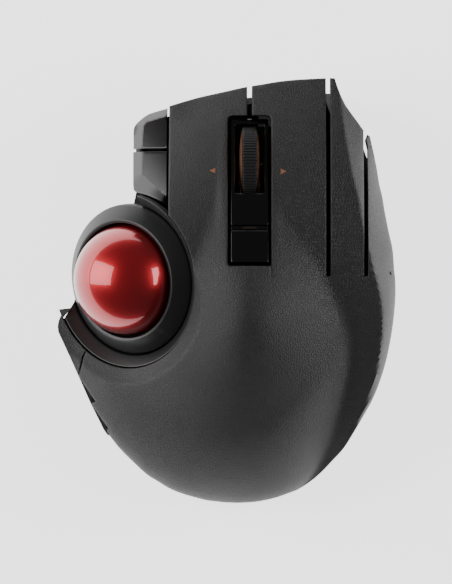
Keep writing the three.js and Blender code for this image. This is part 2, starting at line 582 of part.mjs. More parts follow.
add("top_cover", topCover(), SOFT_BLACK);
add("thumb_wing", platedShell.intersect(prism(wingOutline, 0, FAR)), SOFT_BLACK);
Object.entries(buttonOutline).forEach(([name, outline]) => add(name, button(outline), SOFT_BLACK));
add("bottom_case", bottomCase(), CASE_BLACK);
add("middle_frame", middleFrame(), CASE_BLACK);
add("ball_cup", ballCup(), SATIN_BLACK);
add("cup_ring", cupRing(), SATIN_BLACK);
add("cup_collar", cupCollar(), SATIN_BLACK);
add("ball", ball(BALL.x, BALL.y, BALL.z, BALL_R, 28, 16), BALL_RED);
BEARINGS.forEach((p, i) => add(`cup_bearing_${i + 1}`, ball(p.x, p.y, p.z, 1.25, 8, 6), RUBY));
add("wheel_bezel", wheelBezel(), GLOSS_BLACK);
add("rear_key", strip(9.2, BEZEL.split - 0.7, BEZEL.x0, BEZEL.x1, BEZEL.depth), GLOSS_BLACK);
add("status_lens", strip(BEZEL.split - 0.35, BEZEL.split + 0.2, 5.4, 9, 2, 0.4), CLEAR);
Object.entries(wheelParts).forEach(([name, make]) => {
  const material = { wheel_hub: RUBBER, wheel_tyre: RUBBER }[name] ?? COPPER;
  add(name, make(), material);
});
add("tilt_yoke", tiltYoke(), NYLON);
add("wheel_cradle", wheelCradle(), NYLON);
Object.entries(SWITCHES).forEach(([name, spec]) => add(name, microSwitch(spec), SWITCH_GREY));
add("main_board", mainBoard(), BOARD_GREEN);
add("button_board", buttonBoard(), BOARD_GREEN);
Object.keys(sideOutline).forEach((name) => add(name, sideButton(name), GLOSS_BLACK));
add("motion_sensor", alongSensor(6, SENSOR.r0, SENSOR.r1), GLOSS_BLACK);
add("sensor_board", alongSensor(11, SENSOR.r1 + GAP, SENSOR.r2), BOARD_GREEN);
add("battery", axleSolid(BATTERY.x - BATTERY.length / 2, BATTERY.x + BATTERY.length / 2, BATTERY.y, BATTERY.z,
  BATTERY.r, 20), CELL);
add("usb_socket", usbSocket(), STEEL);
add("power_slider", powerSlider(), SATIN_BLACK);
add("mode_slider", wallSlider(STEPS[0]), SATIN_BLACK);
add("speed_slider", wallSlider(STEPS[1]), SATIN_BLACK);
SCREWS.forEach(([x, y], i) => add(`case_screw_${i + 1}`, screw(x, y), STEEL));
Object.entries(FEET).forEach(([name, { x, y, w, d }]) => add(name, slab(x, y, w, d, 0, FOOT_H, 2), RUBBER));

export default group;
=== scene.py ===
"""Looks of a right-handed thumb trackball mouse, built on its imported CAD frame.

Lengths in the shape code are millimetres in the CAD frame; make() turns them into metres.
"""

import json
import math

import bmesh
import bpy
import numpy as np
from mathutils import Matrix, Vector
from mathutils.geometry import delaunay_2d_cdt


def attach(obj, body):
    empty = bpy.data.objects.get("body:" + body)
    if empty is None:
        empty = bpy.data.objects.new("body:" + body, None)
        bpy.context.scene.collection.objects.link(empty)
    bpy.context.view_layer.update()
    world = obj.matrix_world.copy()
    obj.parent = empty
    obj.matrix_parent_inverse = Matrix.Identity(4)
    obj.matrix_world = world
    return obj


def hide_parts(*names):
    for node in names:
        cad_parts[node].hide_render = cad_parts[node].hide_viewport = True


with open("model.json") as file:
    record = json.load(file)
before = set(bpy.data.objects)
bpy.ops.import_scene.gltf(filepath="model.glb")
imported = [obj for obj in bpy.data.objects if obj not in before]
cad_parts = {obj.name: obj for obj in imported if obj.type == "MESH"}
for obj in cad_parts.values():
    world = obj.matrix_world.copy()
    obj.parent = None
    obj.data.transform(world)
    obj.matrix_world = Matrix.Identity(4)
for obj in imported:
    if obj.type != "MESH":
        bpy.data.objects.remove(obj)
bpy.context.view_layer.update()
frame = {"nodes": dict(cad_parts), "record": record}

MM = 0.001

# ---- sizes shared with the CAD ----
RIDGE_X, RIDGE_Y, RIDGE_Z, RIDGE_ROUND = 7.0, -6.0, 54.0, 6.0
SLOPE_LEFT, SLOPE_RIGHT, SLOPE_FRONT, SLOPE_REAR = 0.8, 0.62, 0.5, 0.55
PARTING_Z = 9.0
BALL = np.array([-29.7, 3.85, 25.5])
BALL_R = 17.0
TILT, TURN = math.radians(37), math.radians(10)
AXIS = np.array([-math.sin(TILT) * math.cos(TURN), -math.sin(TILT) * math.sin(TURN), math.cos(TILT)])
LIP = (17.7, 3.2)
RING = (23.1, -0.9)
COLLAR = (26.8, 2.6)
SEAM_R = 27.1
BEVEL_SLOPE, BEVEL_CURVE = 0.3, 0.035
SLOT = (0.5, 13.8, 7.9, 53.9)
WHEEL = (7.2, 38.2, 29.2)
HINGE_LEFT, HINGE_RIGHT = 10.0, 4.8
SIDE_SINK = 0.8  # thumb buttons lie this far below the palm surface
KEY_FLOOR_Z = 15.2

# ---- finish of the meshes ----
MERGE = 0.12  # outline points nearer than this are one
SEAM_COUNT = 240
HALVINGS = 22
RIM_STEPS = [0, 0.08, 0.22, 0.45, 1.0]
SKIRT_STEPS = [0, 0.06, 0.3, 1.0, 2.2]

# ---- outline of the object seen from above, anticlockwise from the thumb panel ----
LEFT_EDGE = [
    (-45.2, -26.9), (-43.9, -30.0), (-42.5, -33.1), (-40.9, -36.2), (-39.1, -39.2), (-37.2, -42.3),
    (-35.1, -45.4), (-32.6, -48.5),
]
REAR_EDGE = [
    (-28.3, -52.8), (-24.6, -56.2), (-20.9, -58.6), (-17.2, -60.8), (-13.5, -62.3), (-9.8, -63.4),
    (-6.2, -64.3), (-2.5, -64.8), (1.5, -65.1), (5.5, -65.1), (10.0, -64.7), (14.8, -63.7), (18.7, -62.4),
    (22.5, -60.8), (26.8, -57.8), (30.2, -54.6), (32.9, -51.6), (35.7, -48.5),
]
RIGHT_EDGE = [
    (37.8, -45.4), (41.5, -39.2), (44.9, -33.1), (47.4, -26.9), (49.2, -20.8), (50.5, -14.6), (51.4, -8.5),
    (51.95, -2.3), (52.0, 2.3), (51.85, 4.8),
]
LITTLE_EDGE = [
    (51.6, 6.9), (51.1, 13.1), (49.8, 19.2), (48.6, 25.4), (48.0, 29.1), (47.1, 32.8), (46.5, 36.5),
    (45.8, 40.2), (44.9, 43.8), (44.0, 47.6),
]


def smooth(lo, hi, v):
    t = np.clip((v - lo) / (hi - lo), 0, 1)
    return t * t * (3 - 2 * t)


def mix(a, b, t):
    return a + (b - a) * t


def spline(points, step=0.8):
    """Catmull-Rom curve through open points, sampled about every step."""
    p = np.array(points, float)
    p = np.vstack([2 * p[0] - p[1], p, 2 * p[-1] - p[-2]])
    out = []
    for i in range(1, len(p) - 2):
        n = max(1, int(np.linalg.norm(p[i + 1] - p[i]) / step))
        for t in np.arange(n) / n:
            a, b, c, d = p[i - 1 : i + 3]
            out.append(0.5 * (2 * b + (c - a) * t + (2 * a - 5 * b + 4 * c - d) * t**2
                              + (3 * b - a - 3 * c + d) * t**3))
    out.append(p[-2])
    return [tuple(q) for q in out]


def line(points, step=0.8):
    """Straight runs between points, sampled about every step, without the last point."""
    out = []
    for (ax, ay), (bx, by) in zip(points, points[1:]):
        n = max(1, int(math.hypot(bx - ax, by - ay) / step))
        out += [(ax + (bx - ax) * k / n, ay + (by - ay) * k / n) for k in range(n)]
    return out


SKIRT = np.array(
    [(-60, 74), (-60, 40), (-56, 4), (-52.2, -11.5)]
    + spline(LEFT_EDGE + REAR_EDGE + RIGHT_EDGE, 1.6) + spline(RIGHT_EDGE[-1:] + LITTLE_EDGE[:-2], 1.6)
    + [(46.5, 50), (53, 68), (54, 74)]
)


def skirt_distance(x, y):
    """Distance in plan from the object's outer edge."""
    best = np.full(x.shape, 1e9)
    for (ax, ay), (bx, by) in zip(SKIRT, SKIRT[1:]):
        dx, dy = bx - ax, by - ay
        t = np.clip(((x - ax) * dx + (y - ay) * dy) / max(dx * dx + dy * dy, 1e-9), 0, 1)
        best = np.minimum(best, np.hypot(x - ax - t * dx, y - ay - t * dy))
    return best


def softplus(t, width):
    return width * np.log1p(np.exp(np.minimum(t / width, 40)))


def palm(x, y):
    """Height of the palm surface before it is fitted to the collar."""
    dx, dy = x - RIDGE_X, y - RIDGE_Y
    across = dx * np.where(dx < 0, SLOPE_LEFT, SLOPE_RIGHT)
    along = dy * np.where(dy < 0, SLOPE_REAR, SLOPE_FRONT)
    z = RIDGE_Z + RIDGE_ROUND - np.sqrt(RIDGE_ROUND**2 + across**2 + along**2)
    front = smooth(-15, 40, y)
    width = mix(6, 0.35, smooth(0, 25, y))
    z = z - 0.5 * front * softplus(x - 33.2, width)
    z = z - 0.5 * front * softplus(x - 44.3, width)
    beside = np.hypot(np.maximum(np.maximum(SLOT[0] - x, x - SLOT[1]), 0),
                      np.maximum(np.maximum(SLOT[2] - y, y - SLOT[3]), 0))
    z = z + 1.3 * smooth(12, 34, y) * (1 - smooth(1.8, 4.6, beside))
    groove = smooth(5, 35, y) * smooth(75, 55, y)
    z = z - 0.9 * groove * (np.exp(-(((x + 8.5) / 4.6) ** 2)) + np.exp(-(((x - 23) / 4.6) ** 2)))
    skirt_z = mix(14.0, 10.5, smooth(-45, -10, x))
    side = mix(15, 6, smooth(15, 35, y))
    size = mix(9, mix(24, side, smooth(-50, -5, y)), smooth(-40, 0, x))
    t = np.minimum(skirt_distance(x, y) / size, 1)
    edge = (1 - (1 - t) ** 2.3) ** (1 / 2.3)
    return skirt_z + np.maximum(z - skirt_z, 1) * edge


def about_axis(x, y, z):
    """Distance from the cup's axis, and distance along it from the ball's centre."""
    p = np.stack([x - BALL[0], y - BALL[1], z - BALL[2]], -1)
    s = p @ AXIS
    return np.linalg.norm(p - s[..., None] * AXIS, axis=-1), s


def crossing(over, low, high):
    """The height between low and high at which over(z) turns positive."""
    for _ in range(HALVINGS):
        mid = (high + low) / 2
        past = over(mid) > 0
        high = np.where(past, mid, high)
        low = np.where(past, low, mid)
    return low


def surface(x, y):
    """Height of the palm surface, cut by a soft bevel round the collar or banked up to meet it."""
    x, y = np.asarray(x, float), np.asarray(y, float)
    top = palm(x, y)

    def over_bevel(z):
        r, s = about_axis(x, y, z)
        out = r - COLLAR[0]
        return s - (COLLAR[1] + out * BEVEL_SLOPE + BEVEL_CURVE * np.maximum(out, 0) ** 2)

    def over_bank(z):
        r, s = about_axis(x, y, z)
        return s + 0.75 * (r - SEAM_R) - COLLAR[1] + 0.1

    near = about_axis(x, y, top)[0] < 40
    top = np.where(near & (over_bevel(top) > 0), crossing(over_bevel, top - 14, top.copy()), top)
    bank = crossing(over_bank, top - 14, top + 14) - 12 * (1 - smooth(-40, -32, x))
    gap = np.minimum(np.abs(top - bank), 1.2)
    return np.maximum(top, bank) + (1.2 - gap) ** 2 * 0.2


U = np.cross(AXIS, [0, 0, 1.0])
U /= np.linalg.norm(U)
V = np.cross(AXIS, U)


def cup_point(r, s, phi):
    return BALL + AXIS * s + r * (U * math.cos(phi) + V * math.sin(phi))


def seam_point(phi):
    """Plan position where the collar's outer seam meets the palm surface."""
    low, high = -25.0, 25.0
    for _ in range(30):
        s = (low + high) / 2
        p = cup_point(SEAM_R, s, phi)
        if p[2] > float(surface(p[0:1], p[1:2])[0]):
            high = s
        else:
            low = s
    p = cup_point(SEAM_R, low, phi)
    return p[0], p[1]


SEAM = [seam_point(2 * math.pi * i / SEAM_COUNT) for i in range(SEAM_COUNT)]


def seam_between(a, b):
    """The seam's samples clockwise from a to b, which are samples too."""
    area = sum(p[0] * q[1] - q[0] * p[1] for p, q in zip(SEAM, SEAM[1:] + SEAM[:1]))
    step = -1 if area > 0 else 1
    i, last, out = SEAM.index(a), SEAM.index(b), []
    while i != last:
        out.append(SEAM[i])
        i = (i + step) % SEAM_COUNT
    return out + [SEAM[last]]


# ---- materials ----
def principled(name, color, rough, metallic=0.0, coat=0.0, spec=0.5, coat_rough=0.03):
    m = bpy.data.materials.new(name)
    m.use_nodes = True
    b = m.node_tree.nodes["Principled BSDF"]
    b.inputs["Base Color"].default_value = (*color, 1)
    b.inputs["Roughness"].default_value = rough
    b.inputs["Metallic"].default_value = metallic
    b.inputs["Coat Weight"].default_value = coat
    b.inputs["Coat Roughness"].default_value = coat_rough
    b.inputs["Specular IOR Level"].default_value = spec
    return m, b


def texture(m, kind, scale, **values):
    nodes, links = m.node_tree.nodes, m.node_tree.links
    coords = nodes.get("Coords") or nodes.new("ShaderNodeTexCoord")
    coords.name = "Coords"
    t = nodes.new(kind)
    t.inputs["Scale"].default_value = scale
    for key, value in values.items():
        t.inputs[key.replace("_", " ")].default_value = value
    links.new(coords.outputs["Object"], t.inputs["Vector"])
    return t


def ramp(m, source, lo, hi, a, b):
    """Maps source from lo..hi to a..b."""
    r = m.node_tree.nodes.new("ShaderNodeMapRange")
    for key, value in (("From Min", lo), ("From Max", hi), ("To Min", a), ("To Max", b)):
        r.inputs[key].default_value = value
    m.node_tree.links.new(source, r.inputs["Value"])
    return r.outputs["Result"]


def add_bump(m, b, sources, distance):
    """Stacks bumps: sources are (output, strength)."""
    last = None
    for source, strength in sources:
        bump = m.node_tree.nodes.new("ShaderNodeBump")
        bump.inputs["Strength"].default_value = strength
        bump.inputs["Distance"].default_value = distance
        m.node_tree.links.new(source, bump.inputs["Height"])
        if last:
            m.node_tree.links.new(last, bump.inputs["Normal"])
        last = bump.outputs["Normal"]
    m.node_tree.links.new(last, b.inputs["Normal"])


def colour_mix(m, b, source, first, second):
    r = m.node_tree.nodes.new("ShaderNodeMix")
    r.data_type = "RGBA"
    r.inputs["A"].default_value = (*first, 1)
    r.inputs["B"].default_value = (*second, 1)
    m.node_tree.links.new(source, r.inputs["Factor"])
    m.node_tree.links.new(r.outputs["Result"], b.inputs["Base Color"])


def grained(name, color, rough, grain=1150, depth=0.5, rim_highlight_gain=1.5, spec=0.5):
    """Moulded plastic with a leather grain; its convex edges are painted paler as a painted rim highlight."""
    m, b = principled(name, color, rough, spec=spec)
    cells = texture(m, "ShaderNodeTexVoronoi", grain)
    cells.feature = "DISTANCE_TO_EDGE"
    fine = texture(m, "ShaderNodeTexNoise", grain * 2.2, Detail=4.0)
    broad = texture(m, "ShaderNodeTexNoise", 45, Detail=3.0)
    add_bump(m, b, [(ramp(m, cells.outputs["Distance"], 0, 0.22, 0, 1), depth),
                    (fine.outputs["Fac"], depth * 0.55)], 0.00008)
    rough_out = ramp(m, broad.outputs["Fac"], 0.3, 0.7, rough - 0.05, rough + 0.05)
    m.node_tree.links.new(rough_out, b.inputs["Roughness"])
    # Painted highlight: pointiness lightens the base colour on convex edges to stand in for rim highlights.
    geometry = m.node_tree.nodes.new("ShaderNodeNewGeometry")
    rim_highlight_mask = ramp(m, geometry.outputs["Pointiness"], 0.54, 0.62, 0, 1)
    colour_mix(m, b, rim_highlight_mask, color, tuple(min(1, c * rim_highlight_gain + 0.004) for c in color))
    return m


def glossy(name, color, rough, coat=0.0):
    m, b = principled(name, color, rough, coat=coat)
    dust = texture(m, "ShaderNodeTexNoise", 60, Detail=5.0)
    ripple = texture(m, "ShaderNodeTexNoise", 350, Detail=2.0)
    out = ramp(m, dust.outputs["Fac"], 0.35, 0.7, rough, rough + 0.08)
    m.node_tree.links.new(out, b.inputs["Roughness"])
    add_bump(m, b, [(ripple.outputs["Fac"], 0.08)], 0.00005)
    return m


def pearl(name):
    """Metallic red under a clear coat."""
    m, b = principled(name, (0.42, 0.012, 0.018), 0.3, metallic=0.75, coat=1.0, coat_rough=0.02)
    flakes = texture(m, "ShaderNodeTexVoronoi", 5200)
    cloud = texture(m, "ShaderNodeTexNoise", 70, Detail=3.0)
    colour_mix(m, b, ramp(m, cloud.outputs["Fac"], 0.3, 0.7, 0, 1), (0.45, 0.012, 0.018), (0.36, 0.01, 0.016))
    out = ramp(m, flakes.outputs["Distance"], 0, 0.6, 0.26, 0.36)
    m.node_tree.links.new(out, b.inputs["Roughness"])
    return m


def metal(name, color, rough):
    m, b = principled(name, color, rough, metallic=1.0)
    brush = texture(m, "ShaderNodeTexNoise", 900, Detail=3.0)
    out = ramp(m, brush.outputs["Fac"], 0.3, 0.7, rough - 0.06, rough + 0.1)
    m.node_tree.links.new(out, b.inputs["Roughness"])
    add_bump(m, b, [(brush.outputs["Fac"], 0.06)], 0.00003)
    return m


SOFT = grained("soft_touch_black", (0.011, 0.0105, 0.0108), 0.55, grain=1400, depth=0.9)
RIM = grained("ring_black", (0.014, 0.0138, 0.0142), 0.4, grain=1500, depth=0.1)
CASE = grained("case_black", (0.018, 0.018, 0.019), 0.55, grain=1500, depth=0.3)
SATIN = grained("satin_black", (0.026, 0.026, 0.027), 0.42, grain=1400, depth=0.2)
GLOSS = glossy("gloss_black", (0.003, 0.0028, 0.0028), 0.07)
KEY = glossy("key_black", (0.008, 0.0066, 0.0062), 0.22)
RED = pearl("pearl_red")
COPPER = metal("copper", (0.85, 0.4, 0.24), 0.34)
STEEL = metal("steel", (0.55, 0.56, 0.58), 0.3)
RUBBER = grained("rubber", (0.01, 0.0097, 0.01), 0.55, grain=2400, depth=0.3)
NYLON = grained("nylon", (0.012, 0.012, 0.012), 0.5, grain=2000, depth=0.15)
BOARD = glossy("board_green", (0.003, 0.018, 0.008), 0.4)
SWITCH = grained("switch_grey", (0.045, 0.048, 0.055), 0.5, grain=2000, depth=0.2)
CELL = glossy("cell", (0.3, 0.36, 0.44), 0.3)
RUBY = glossy("ruby", (0.6, 0.03, 0.08), 0.08)
LENS = glossy("lens", (0.02, 0.012, 0.008), 0.25)


# ---- meshes ----
def make(name, verts, faces, material, body, sharp=0.7):
    """A cleaned, smooth-shaded mesh object that rides on body; verts are in millimetres."""
    mesh = bpy.data.meshes.new(name)
    places = [tuple(float(c) * MM for c in v) for v in verts]
    mesh.from_pydata(places, [], [tuple(map(int, f)) for f in faces])
    bm = bmesh.new()
    bm.from_mesh(mesh)
    bmesh.ops.remove_doubles(bm, verts=bm.verts, dist=1e-7)
    bmesh.ops.recalc_face_normals(bm, faces=bm.faces)
    bm.to_mesh(mesh)
    bm.free()
    mesh.validate()
    mesh.shade_smooth()
    mesh.set_sharp_from_angle(angle=sharp)
    obj = bpy.data.objects.new(name, mesh)
    bpy.context.collection.objects.link(obj)
    mesh.materials.append(material)
    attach(obj, body)
    return obj


def normals_of(loop):
    """Inward unit vectors of an anticlockwise loop, lengthened at its corners."""
    p = np.array(loop, float)
    before = p - np.roll(p, 1, 0)
    after = np.roll(p, -1, 0) - p
    before /= np.maximum(np.linalg.norm(before, axis=1), 1e-9)[:, None]
    after /= np.maximum(np.linalg.norm(after, axis=1), 1e-9)[:, None]
    n1 = np.stack([-before[:, 1], before[:, 0]], 1)
    n2 = np.stack([-after[:, 1], after[:, 0]], 1)
    n = n1 + n2
    n /= np.maximum(np.linalg.norm(n, axis=1), 1e-6)[:, None]
    return n / np.maximum(0.5, (n * n1).sum(1))[:, None]


def inside(points, loop):
    x, y = points[:, 0], points[:, 1]
    hit = np.zeros(len(points), bool)
    for (ax, ay), (bx, by) in zip(loop, loop[1:] + loop[:1]):
        cross = (ay > y) != (by > y)
        if by != ay:
            hit ^= cross & (x < (bx - ax) * (y - ay) / (by - ay) + ax)
    return hit


def loop_distance(points, loop):
    best = np.full(len(points), 1e9)
    for (ax, ay), (bx, by) in zip(loop, loop[1:] + loop[:1]):
        dx, dy = bx - ax, by - ay
        along = (points[:, 0] - ax) * dx + (points[:, 1] - ay) * dy
        t = np.clip(along / max(dx * dx + dy * dy, 1e-9), 0, 1)
        best = np.minimum(best, np.hypot(points[:, 0] - ax - t * dx, points[:, 1] - ay - t * dy))
    return best


def joined(runs):
    """One closed loop of points with the kind of each, without doubles."""
    loop, kinds = [], []
    for points, kind in runs:
        for q in points:
            if not loop or math.hypot(q[0] - loop[-1][0], q[1] - loop[-1][1]) > MERGE:
                loop.append((float(q[0]), float(q[1])))
                kinds.append(kind)
    while math.hypot(loop[0][0] - loop[-1][0], loop[0][1] - loop[-1][1]) < MERGE:
        loop.pop()
        kinds.pop()
    return loop, kinds


def panel(name, runs, material, body, height, thick=2.2, floor_z=PARTING_Z, radius=0.45, cell=0.9,
          reach=0.9, hole=None, marks=(), lip=None):
    """A closed plate under height(x, y), with its outline in anticlockwise runs of (points, kind).

    A rim is rounded by radius, and a seam stays sharp. A skirt is sampled out to about twice reach from
    the edge. A wall is a rim that goes down to floor_z, as a skirt does; lip is how far the other edges
    turn down. hole is a clockwise loop, and marks are points that the top's triangles must meet at.
    """
    loop, kinds = joined(runs)
    outer = len(loop)
    inward = normals_of(loop)
    after = [(i + 1) % outer for i in range(outer)]
    if hole:
        inner_loop, inner_kinds = joined([(hole, "rim")])
        inward = np.vstack([inward, normals_of(inner_loop)])
        after += [outer + (i + 1) % len(inner_loop) for i in range(len(inner_loop))]
        loop, kinds = loop + inner_loop, kinds + inner_kinds
    steps = np.array(RIM_STEPS) * radius
    is_skirt = np.array([k == "skirt" for k in kinds])
    is_rim = np.array([k in ("rim", "wall") for k in kinds])
    is_wall = np.array([k in ("skirt", "wall") for k in kinds])
    base = np.array(loop)
    rings = []
    for k in range(len(RIM_STEPS)):
        d = np.where(is_skirt, SKIRT_STEPS[k] * reach, steps[k])
        xy = base + inward * d[:, None]
        drop = radius - math.sqrt(max(radius**2 - (radius - steps[k]) ** 2, 0))
        z = height(xy[:, 0], xy[:, 1]) - np.where(is_rim, drop, 0)
        rings.append(np.column_stack([xy, z]))
    n = len(loop)
    core = [tuple(q) for q in rings[-1][:, :2]]
    lo, hi = base.min(0), base.max(0)
    gx, gy = np.meshgrid(np.arange(lo[0], hi[0], cell), np.arange(lo[1], hi[1], cell * 0.87))
    gx = gx + (np.arange(gx.shape[0]) % 2)[:, None] * cell / 2
    grid = np.column_stack([gx.ravel(), gy.ravel()])
    if len(marks):
        marks = np.array(marks, float)
        gap = np.array([np.min(np.hypot(marks[:, 0] - q[0], marks[:, 1] - q[1])) for q in grid])
        grid = np.vstack([marks, grid[gap > cell * 0.45]])
    grid = grid[inside(grid, core[:outer])]
    grid = grid[loop_distance(grid, core[:outer]) > min(cell, 0.5) * 0.45]
    bounds = [list(range(outer))]
    if hole:
        grid = grid[~inside(grid, core[outer:])]
        grid = grid[loop_distance(grid, core[outer:]) > cell * 0.45]
        bounds.append(list(range(outer, n)))
    flat = [Vector(q) for q in core] + [Vector(q) for q in grid]
    points, _, tris, origin, _, _ = delaunay_2d_cdt(flat, [], bounds, 1, 1e-6)
    if hole:
        middle = np.array([sum((np.array(points[i]) for i in t), np.zeros(2)) / 3 for t in tris])
        tris = [t for t, out in zip(tris, ~inside(middle, core[outer:])) if out]
    where = {}
    for i, sources in enumerate(origin):
        for s in sources:
            where[s] = i
    xy = np.array([tuple(p) for p in points])
    z = height(xy[:, 0], xy[:, 1])
    top = np.column_stack([xy, z])
    bottom_z = np.maximum(z - thick, floor_z)
    bottom_z = np.minimum(bottom_z, z - 0.4)
    verts = [tuple(v) for ring in rings[:-1] for v in ring]
    top_at = len(verts)
    verts += [tuple(v) for v in top]
    under_at = len(verts)
    verts += [(x, y, w) for (x, y), w in zip(xy, bottom_z)]
    foot_at = len(verts)
    foot_z = np.maximum(rings[0][:, 2] - (lip or thick), floor_z)
    foot_z = np.minimum(np.where(is_wall, floor_z, foot_z), rings[0][:, 2] - 0.2)
    verts += [(x, y, w) for (x, y), w in zip(base, foot_z)]
    inner_at = len(verts)
    verts += [(x, y, w) for (x, y, _), w in zip(rings[-1], foot_z)]
    faces = [tuple(top_at + i for i in t) for t in tris]
    faces += [tuple(under_at + i for i in reversed(t)) for t in tris]
    for i in range(n):
        j = after[i]
        for k in range(3):
            faces.append((k * n + i, k * n + j, (k + 1) * n + j, (k + 1) * n + i))
        faces.append((3 * n + i, 3 * n + j, top_at + where[j], top_at + where[i]))
        faces.append((foot_at + i, foot_at + j, j, i))
        faces.append((inner_at + i, inner_at + j, foot_at + j, foot_at + i))
        faces.append((under_at + where[i], under_at + where[j], inner_at + j, inner_at + i))
    return make(name, verts, faces, material, body)


def lathe(name, profile, material, body, start=0.0, end=2 * math.pi, count=200, slant=(0, 0)):
    """A closed (r, s) profile turned about the cup's axis; slant turns each end by so much per mm of r."""
    whole = end - start > 2 * math.pi - 1e-6
    rows = count if whole else count + 1
    n = len(profile)
    verts = []
    for i in range(rows):
        t = i / count
        for r, s in profile:
            turn = start + (end - start) * t + (slant[0] * (1 - t) + slant[1] * t) * (r - profile[0][0])
            verts.append(cup_point(r, s, turn))
    faces = []
    for i in range(count):
        a, b = i * n, ((i + 1) % rows) * n
        faces += [(a + k, b + k, b + (k + 1) % n, a + (k + 1) % n) for k in range(n)]
    if not whole:
        faces += [tuple(range(n)), tuple((rows - 1) * n + k for k in reversed(range(n)))]
    return make(name, verts, faces, material, body)


def rounded(points, radii, steps=4):
    """Rounds each corner of a closed 2-D polygon by its own radius."""
    out = []
    count = len(points)
    for i, r in enumerate(radii):
        p, a, b = (np.array(points[k % count], float) for k in (i, i - 1, i + 1))
        if r <= 0:
            out.append(tuple(p))
            continue
        da, db = a - p, b - p
        la, lb = np.linalg.norm(da), np.linalg.norm(db)
        d = min(r, la * 0.45, lb * 0.45)
        s, e = p + da / la * d, p + db / lb * d
        for k in range(steps + 1):
            t = k / steps
            out.append(tuple((1 - t) ** 2 * s + 2 * t * (1 - t) * p + t * t * e))
    return out


def turned(name, profile, material, count=96, depth=lambda i, r: 0):
    """A closed (r, x) profile turned about the wheel's axle; depth(i, r) is how far row i is cut in."""
    n = len(profile)
    verts = []
    for i in range(count):
        a = 2 * math.pi * i / count
        for r, x in profile:
            q = r - depth(i, r)
            verts.append((WHEEL[0] + x, WHEEL[1] + q * math.cos(a), WHEEL[2] + q * math.sin(a)))
    faces = []
    for i in range(count):
        a, b = i * n, ((i + 1) % count) * n
        faces += [(a + k, b + k, b + (k + 1) % n, a + (k + 1) % n) for k in range(n)]
    return make(name, verts, faces, material, "wheel")


def bend(a, p, b, steps=5):
    """Points of the rounded corner from a round p to b."""
    a, p, b = (np.array(q, float) for q in (a, p, b))
    shares = np.arange(steps + 1) / steps
    return [tuple((1 - t) ** 2 * a + 2 * t * (1 - t) * p + t * t * b) for t in shares]


# ---- palm cover and finger buttons ----
def on_seam(x, y):
    """The seam's sample nearest to (x, y)."""
    return min(SEAM, key=lambda p: math.hypot(p[0] - x, p[1] - y))


hinge_point = min((p for p in SEAM if p[0] > BALL[0]), key=lambda p: abs(p[1] - HINGE_LEFT))
split_point, side_point, wing_top = on_seam(-42.6, -17.4), on_seam(-17.4, 23.8), on_seam(-48.5, -4.5)
SHELF = [(51.85, HINGE_RIGHT), (43.2, HINGE_RIGHT), (42.0, HINGE_RIGHT), (31.8, HINGE_RIGHT),
         (30.5, HINGE_RIGHT), (SLOT[1], HINGE_RIGHT)]
cover_runs = [
    (line([(-45.4, -26.0), (-40.1, -33.8), (-41.45, -34.3), (-41.3, -34.9), (-36.25, -41.95), (-37.4, -42.4),
           LEFT_EDGE[6]]), "wall"),
    (spline(LEFT_EDGE[6:] + REAR_EDGE + RIGHT_EDGE, 0.8), "skirt"),
    (line(SHELF), "seam"),
    (line([(SLOT[1], HINGE_RIGHT), (SLOT[1], HINGE_RIGHT + 0.6), (SLOT[1], SLOT[2] + 0.1),
           (SLOT[1] - 0.1, SLOT[2]), (SLOT[0] + 1.2, SLOT[2])]), "rim"),
    (bend((SLOT[0] + 1.2, SLOT[2]), (SLOT[0], SLOT[2]), (SLOT[0], SLOT[2] + 1.2)), "rim"),
    (line([(SLOT[0], SLOT[2] + 1.2), (SLOT[0], HINGE_LEFT)]), "rim"),
    (line([(SLOT[0], HINGE_LEFT), hinge_point]), "seam"),
    (seam_between(hinge_point, split_point), "rim"),
    (line([split_point, (-43.9, -19.9), (-44.6, -23.0), (-45.2, -24.6)]), "rim"),
    (line([(-45.2, -24.6), (-45.4, -26.0)]), "wall"),
]
cover = panel("palm_cover", cover_runs, SOFT, "base", surface)
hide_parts("top_cover")


def finger_button(name, node, runs, radius=0.45):
    obj = panel(name, runs, SOFT, node, surface, floor_z=PARTING_Z + 1, radius=radius, cell=0.85, reach=0.6,
                lip=7)
    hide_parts(node)


def front_edge(points):
    """A front edge given from left to right, turned anticlockwise."""
    return list(reversed(spline(points)))


finger_button("left_plate", "left_button", [
    (line([hinge_point, (SLOT[0], HINGE_LEFT)]), "seam"),
    (line([(SLOT[0], HINGE_LEFT), (SLOT[0], SLOT[3] - 1.6)]), "rim"),
    (bend((SLOT[0], SLOT[3] - 1.6), (SLOT[0], SLOT[3]), (SLOT[0] + 1.6, SLOT[3])), "rim"),
    (line([(SLOT[0] + 1.6, SLOT[3]), (6.5, SLOT[3]), (6.5, 62.9)]), "rim"),
    (front_edge([(-17.4, 57.1), (-13.5, 58.3), (-8, 59.8), (-0.6, 61.4), (4.9, 62.6), (6.5, 62.9)]), "rim"),
    (line([(-17.4, 57.1), side_point]), "rim"),
    (seam_between(side_point, hinge_point), "rim"),
])
finger_button("right_plate", "right_button", [
    (line([(SLOT[1], HINGE_RIGHT), (30.5, HINGE_RIGHT)]), "seam"),
    (line([(30.5, HINGE_RIGHT), (30.5, 65.35)]), "rim"),
    (front_edge([(7.9, 63.1), (12.3, 63.8), (16, 64.4), (19.7, 64.8), (23.4, 65.05), (30.5, 65.35)]), "rim"),
    (line([(7.9, 63.1), (7.9, SLOT[3]), (SLOT[1] - 1.6, SLOT[3])]), "rim"),
    (bend((SLOT[1] - 1.6, SLOT[3]), (SLOT[1], SLOT[3]), (SLOT[1], SLOT[3] - 1.6)), "rim"),
    (line([(SLOT[1], SLOT[3] - 1.6), (SLOT[1], HINGE_RIGHT)]), "rim"),
])
